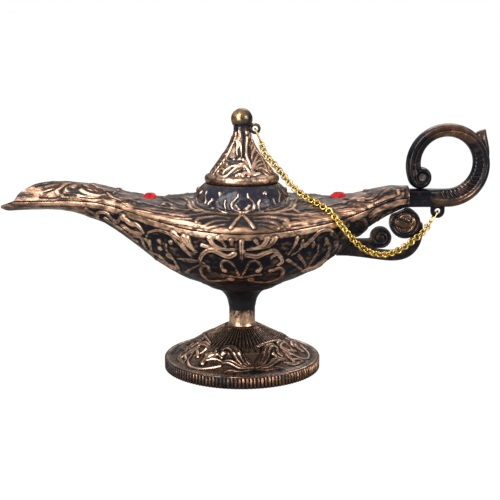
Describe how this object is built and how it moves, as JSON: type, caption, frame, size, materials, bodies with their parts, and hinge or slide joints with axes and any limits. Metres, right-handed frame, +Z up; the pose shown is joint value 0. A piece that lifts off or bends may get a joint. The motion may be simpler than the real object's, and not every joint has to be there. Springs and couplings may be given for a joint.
{
  "type": "genie oil lamp",
  "caption": "Boat-shaped oil lamp on a domed foot, with a long spout, ring handle, scroll bracket and a lift-off lid on a chain.",
  "frame": {"origin": "centre of the foot's ring on the ground", "axes": "+Z up, +X towards the handle, -X towards the spout, +Y to the side away from the chain"},
  "size_m": [0.2002, 0.0654, 0.1082],
  "materials": {
    "aged_copper": "cast, antiqued dark with rubbed copper relief",
    "bright_copper": "satin rubbed copper",
    "pale_copper": "pale rubbed copper with dark recesses",
    "dark_bronze": "near-black patina, rubbed brown on edges",
    "gilt": "bright gold plate",
    "red_stone": "polished red faceted glass",
    "steel": "plain zinc-plated"
  },
  "bodies": {
    "root": {"foot": "aged_copper", "foot_washer": "steel", "foot_bolt": "steel", "stem_band": "bright_copper", "lower_body": "aged_copper", "upper_body": "aged_copper", "chain": "gilt", "handle_ring": "gilt", "chain_eye": "dark_bronze", "handle": "dark_bronze", "curl_stud": "bright_copper", "scroll_bracket": "dark_bronze", "spout_gem": "red_stone", "spout_gem_setting": "aged_copper", "tail_gem": "red_stone", "tail_gem_setting": "aged_copper"},
    "lid": {"lid": "pale_copper", "lid_finial": "dark_bronze", "finial_nut": "steel", "lid_ring": "gilt"}
  },
  "joints": [
    {"name": "lid_lift", "type": "slide", "parent": "root", "child": "lid", "axis": [0, 0, 1], "range_m": [0, 0.02], "deforming": ["chain"]}
  ]
}
